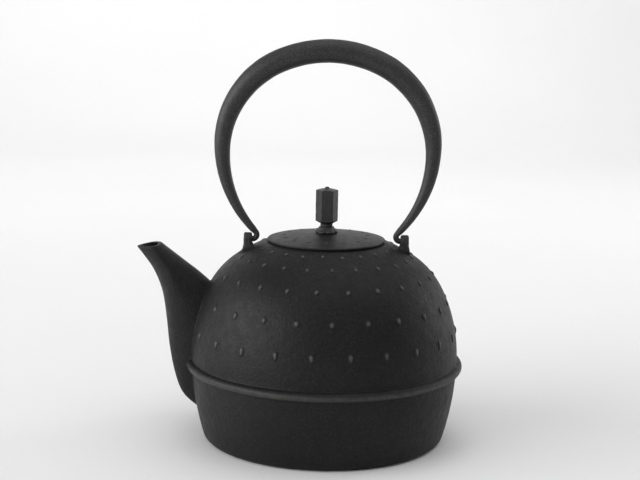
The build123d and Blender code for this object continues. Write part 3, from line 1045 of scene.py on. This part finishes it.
def knob(material):
    """Hexagonal knob with worn edges, a waist below and a low peak with a small boss above."""
    blank_r = KNOB_CORNER_R + 0.3
    blank = rounded([(RIVET_R, KNOB_BOTTOM_Z + 1, 0), (RIVET_R, KNOB_BOTTOM_Z, 0),
                     (KNOB_NECK_R, KNOB_BOTTOM_Z, 0.2), (KNOB_NECK_R, KNOB_NECK_Z, 0.8),
                     (blank_r, KNOB_SHOULDER_Z, 0.9), (blank_r, KNOB_EAVES_Z, 0.8),
                     (KNOB_BOSS_R, KNOB_PEAK_Z, 0.4), (KNOB_BOSS_R, KNOB_TOP_Z, 0.4),
                     (0.0, KNOB_TOP_Z, 0)], 6)
    fine = []
    for (r0, z0), (r1, z1) in zip(blank, blank[1:]):
        steps = max(1, round(hypot(r1 - r0, z1 - z0) / 0.4))
        fine += [(r0 + (r1 - r0) * step / steps, z0 + (z1 - z0) * step / steps) for step in range(steps)]
    bore = [(0.0, RIVET_TOP_Z), (RIVET_R, RIVET_TOP_Z), (RIVET_R, KNOB_BOTTOM_Z + 6)]

    def worn_hexagon(r, z, turn):
        """The round blank cut to a hexagon, a little uneven outside its bore."""
        wide = min(r, hexagon_radius(turn - radians(KNOB_HEX_TURN), KNOB_CORNER_R, KNOB_HEX_EDGE_R))
        if wide > RIVET_R + 0.5:
            place = Vector((wide * cos(turn), wide * sin(turn), z))
            wide += noise.noise(place * 0.45) * 0.10 + noise.noise(place * 1.3) * 0.05
        return wide
    bm = bmesh.new()
    skin_rows(bm, shaped_rows(bm, bore + fine + [(0.0, KNOB_TOP_Z)], worn_hexagon))
    return piece("knob_hexagon", bm, "knob", ["knob"], material)


def knob_seat(material):
    """Flower-shaped seat: rounded petals under a sweep up to the knob."""
    pad_z = lid_dome_z(LID_PAD_R)
    outline = rounded([(PIN_HOLE_R, pad_z, 0.15), (SEAT_R - 0.5, pad_z, 0.35), (SEAT_R, SEAT_EDGE_Z, 0.7),
                       (SEAT_TOP_R + 1.1, SEAT_EDGE_Z + 1.0, 1.2), (SEAT_TOP_R, SEAT_TOP_Z, 0.3),
                       (PIN_HOLE_R, SEAT_TOP_Z, 0.15), (PIN_HOLE_R, pad_z, 0)], 4)
    outline = [(PIN_HOLE_R, (pad_z + SEAT_TOP_Z) / 2)] + outline[1:-1]

    def petals(r, z, turn):
        """Full at a petal's middle and drawn in between petals, less so towards the top."""
        if r <= SEAT_TOP_R - 0.5:
            return r
        petal = abs(cos(turn * SEAT_LOBES / 2)) ** 0.7
        low = smoothstep((SEAT_TOP_Z - 0.9 - z) / 1.4)
        return r * (1 - SEAT_LOBE_DEPTH * low * (1 - petal))
    bm = bmesh.new()
    skin_rows(bm, shaped_rows(bm, outline, petals), closed=True)
    return piece("knob_flower_seat", bm, "lid", ["knob_seat"], material)


def knob_fixings(material):
    """Rivet with a domed head and the washer above it, both under the lid."""
    low, high = RIVET_HEAD_Z
    rivet = rounded([(0.0, low, 0), (RIVET_HEAD_R - 1.2, low, 0.6), (RIVET_HEAD_R, high - 0.5, 0.4),
                     (RIVET_HEAD_R, high, 0.15), (RIVET_R, high, 0.15), (RIVET_R, RIVET_TOP_Z, 0.3),
                     (0.0, RIVET_TOP_Z, 0)])
    turned_piece("knob_rivet_pin", rivet, 64, "knob", ["knob_rivet"], material)
    top = lid_dome_z(LID_PAD_R) - LID_THICKNESS
    low = top - WASHER_THICKNESS
    washer = rounded([(PIN_HOLE_R, (low + top) / 2, 0), (PIN_HOLE_R, low, 0.15), (WASHER_R, low, 0.3),
                      (WASHER_R, top, 0.15), (PIN_HOLE_R, top, 0.15), (PIN_HOLE_R, (low + top) / 2, 0)])[:-1]
    turned_piece("knob_washer_ring", washer, 72, "lid", ["knob_washer"], material)


# ---- basket
def basket(material):
    """Strainer basket of thin sheet: flat rim, perforated wall and perforated floor."""
    inner = BASKET_R - BASKET_SHEET
    top = REBATE_Z + BASKET_RIM_THICKNESS
    rim = rounded([(inner, (REBATE_Z + top) / 2, 0), (inner, REBATE_Z, 0.15), (BASKET_RIM_R, REBATE_Z, 0.3),
                   (BASKET_RIM_R, top, 0.35), (inner, top, 0.35), (inner, (REBATE_Z + top) / 2, 0)])[:-1]
    turned_piece("basket_rim", rim, 144, "infuser", ["infuser_rim"], material)
    basket_wall(material)
    basket_floor(material)


def basket_wall(material):
    """Sheet tube with a grid of round holes between plain bands."""
    columns = round(2 * pi * BASKET_R / BASKET_HOLE_PITCH)
    low_z, high_z = BASKET_BOTTOM_Z + BASKET_SHEET, REBATE_Z
    levels = round((high_z - low_z - 2 * BASKET_BAND) / BASKET_HOLE_PITCH)
    pitch_z = (high_z - low_z - 2 * BASKET_BAND) / levels
    bm = bmesh.new()
    skins = []
    for radius in (BASKET_R, BASKET_R - BASKET_SHEET):
        def at(u, v):
            return bm.verts.new(around(radius, 2 * pi * u / columns, low_z + BASKET_BAND + pitch_z * v))
        low_row = [bm.verts.new(around(radius, pi * c / columns, low_z)) for c in range(2 * columns)]
        high_row = [bm.verts.new(around(radius, pi * c / columns, high_z)) for c in range(2 * columns)]
        lines = [[at(c / 2, v / 2) for c in range(0, 2 * columns, 1 + v % 2)] for v in range(2 * levels + 1)]
        skin_pair(bm, low_row, lines[0])
        skin_pair(bm, lines[-1], high_row)
        holes = []
        for level in range(levels):
            below, beside, above = lines[2 * level:2 * level + 3]
            for column in range(columns):
                after, half = (column + 1) % columns, 2 * column
                onward = (half + 2) % (2 * columns)
                frame_points = [beside[after], above[onward], above[half + 1], above[half],
                                beside[column], below[half], below[half + 1], below[onward]]
                hole = []
                for corner in range(8):
                    turn = pi / 4 * corner
                    hole.append(at(column + 0.5 + BASKET_HOLE_R * cos(turn) * columns / (2 * pi * BASKET_R),
                                   level + 0.5 + BASKET_HOLE_R * sin(turn) / pitch_z))
                skin_pair(bm, frame_points, hole)
                holes.append(hole)
        skins.append((low_row, high_row, holes))
    (low_a, high_a, holes_a), (low_b, high_b, holes_b) = skins
    for a, b in [(low_a, low_b), (high_a, high_b)] + list(zip(holes_a, holes_b)):
        skin_pair(bm, a, b)
    return piece("basket_wall", bm, "infuser", ["infuser_wall"], material)


def basket_floor(material):
    """Round sheet with rings of holes."""
    bm = bmesh.new()
    loops = [[bm.verts.new(around(BASKET_R, 2 * pi * c / 96, BASKET_BOTTOM_Z)) for c in range(96)]]
    for ring in range(8):
        radius = ring * BASKET_HOLE_PITCH
        count = max(1, 6 * ring)
        for index in range(count):
            middle = around(radius, 2 * pi * index / count, BASKET_BOTTOM_Z)
            corners = [middle + around(BASKET_HOLE_R, pi / 4 * c + pi / 8, 0) for c in range(8)]
            loops.append([bm.verts.new(corner) for corner in corners])
    edges = []
    for loop in loops:
        edges += [bm.edges.new((loop[i], loop[(i + 1) % len(loop)])) for i in range(len(loop))]
    bmesh.ops.triangle_fill(bm, use_beauty=True, edges=edges, normal=(0, 0, -1))
    lower = bm.faces[:]
    copy = bmesh.ops.duplicate(bm, geom=bm.verts[:] + bm.edges[:] + lower)
    lifted = {source: twin for source, twin in copy["vert_map"].items()
              if isinstance(source, bmesh.types.BMVert)}
    twins = [lifted[vert] for loop in loops for vert in loop]
    bmesh.ops.translate(bm, verts=twins, vec=(0, 0, BASKET_SHEET))
    for loop in loops:
        skin_pair(bm, loop, [lifted[vert] for vert in loop])
    obj = piece("basket_floor", bm, "infuser", ["infuser_floor"], material)
    obj.data.polygons.foreach_set("use_smooth", [False] * len(obj.data.polygons))
    return obj


# ---- the stage
def stage():
    """Plain pale floor that curves up far behind."""
    bm = bmesh.new()
    bend = arc((STAGE_BEND_Y, STAGE_BEND_R), STAGE_BEND_R, -90.0, 0.0, 24)
    line = [(STAGE_FRONT_Y, 0.0), (STAGE_BEND_Y, 0.0)] + bend[1:] + [(bend[-1][0], STAGE_TOP_Z)]
    rows = [[bm.verts.new((x, y, z)) for x in (-STAGE_HALF_WIDTH, STAGE_HALF_WIDTH)] for y, z in line]
    for low, high in zip(rows, rows[1:]):
        bm.faces.new([low[0], low[1], high[1], high[0]])
    mesh = bpy.data.meshes.new("studio_floor")
    bm.to_mesh(mesh)
    bm.free()
    mesh.polygons.foreach_set("use_smooth", [True] * len(mesh.polygons))
    floor = linked("studio_floor", mesh)
    material, nodes, links, shader, place = shader_nodes("pale_floor")
    paper = noise_node(nodes, links, place, 3.0, 2.0)
    links.new(ramp_node(nodes, links, paper, [(0.3, 0.80), (0.7, 0.82)]), shader.inputs["Base Color"])
    shader.inputs["Roughness"].default_value = 0.7
    shader.inputs["Specular IOR Level"].default_value = 0.2
    mesh.materials.append(material)


def soft_light(name, place, target, size, power):
    """Square area light that the camera doesn't see."""
    light = bpy.data.lights.new(name, "AREA")
    light.shape = "RECTANGLE"
    light.size, light.size_y = size
    light.energy = power
    obj = linked(name, light)
    obj.location = place
    obj.rotation_euler = (Vector(target) - Vector(place)).to_track_quat("-Z", "Y").to_euler()
    obj.visible_camera = False


def lights():
    """Soft light from above, a large one at the left, a weak one at the right, one on the backdrop,
    and a pale surround."""
    middle = (0.0, 0.0, 0.08)
    soft_light("top_light", (0.30, -0.15, 1.40), middle, (1.8, 1.5), 8.0)
    soft_light("left_light", (-2.15, -0.75, 0.78), middle, (3.0, 1.3), 54.0)
    soft_light("right_light", (1.2, 0.70, 0.45), middle, (0.25, 0.8), 3.0)
    soft_light("backdrop_light", (0.0, 0.9, 1.5), (0.0, 2.2, 0.6), (0.7, 0.8), 11.5)
    world = bpy.data.worlds.new("pale_surround")
    bpy.context.scene.world = world
    world.use_nodes = True
    background = world.node_tree.nodes["Background"]
    background.inputs["Color"].default_value = (1.0, 1.0, 1.0, 1.0)
    background.inputs["Strength"].default_value = 0.44


def camera():
    """Camera in front of the teapot, looking slightly down."""
    data = bpy.data.cameras.new("camera")
    data.sensor_width = 36.0
    data.lens = CAMERA_LENS_MM
    obj = linked("camera", data)
    turn = Matrix.Rotation(radians(CAMERA_TURN), 4, "Z")
    tilt = Matrix.Rotation(radians(CAMERA_TILT), 4, "X")
    roll = Matrix.Rotation(radians(CAMERA_ROLL), 4, "Z")
    obj.matrix_world = Matrix.Translation(CAMERA_PLACE) @ turn @ tilt @ roll
    bpy.context.scene.camera = obj
    bpy.context.scene.view_settings.view_transform = "Standard"


camera()
stage()
lights()
body_iron = iron("matt_cast_iron", 0.004, 0.007, (0.48, 0.60), 0.55, 0.18, 0.23)
lid_iron = iron("matt_lid_iron", 0.005, 0.008, (0.46, 0.56), 0.45, 0.08, 0.30)
handle_iron = iron("matt_handle_iron", 0.014, 0.022, (0.44, 0.54), 0.40, 0.06, 0.42)
knob_iron = iron("worn_knob_iron", 0.010, 0.018, (0.38, 0.50), 0.35, 0.06, 0.42)
satin_steel = steel("satin_steel", (0.62, 0.61, 0.59), (0.28, 0.42), 0.30)
rivet_steel = steel("plain_steel", (0.45, 0.44, 0.43), (0.35, 0.50), 0.20)

pot_body(body_iron)
pot_lug("pot_lug_right", 1, body_iron)
pot_lug("pot_lug_left", -1, body_iron)
handle(handle_iron)
lid(lid_iron)
knob_seat(knob_iron)
knob(knob_iron)
knob_fixings(rivet_steel)
basket(satin_steel)
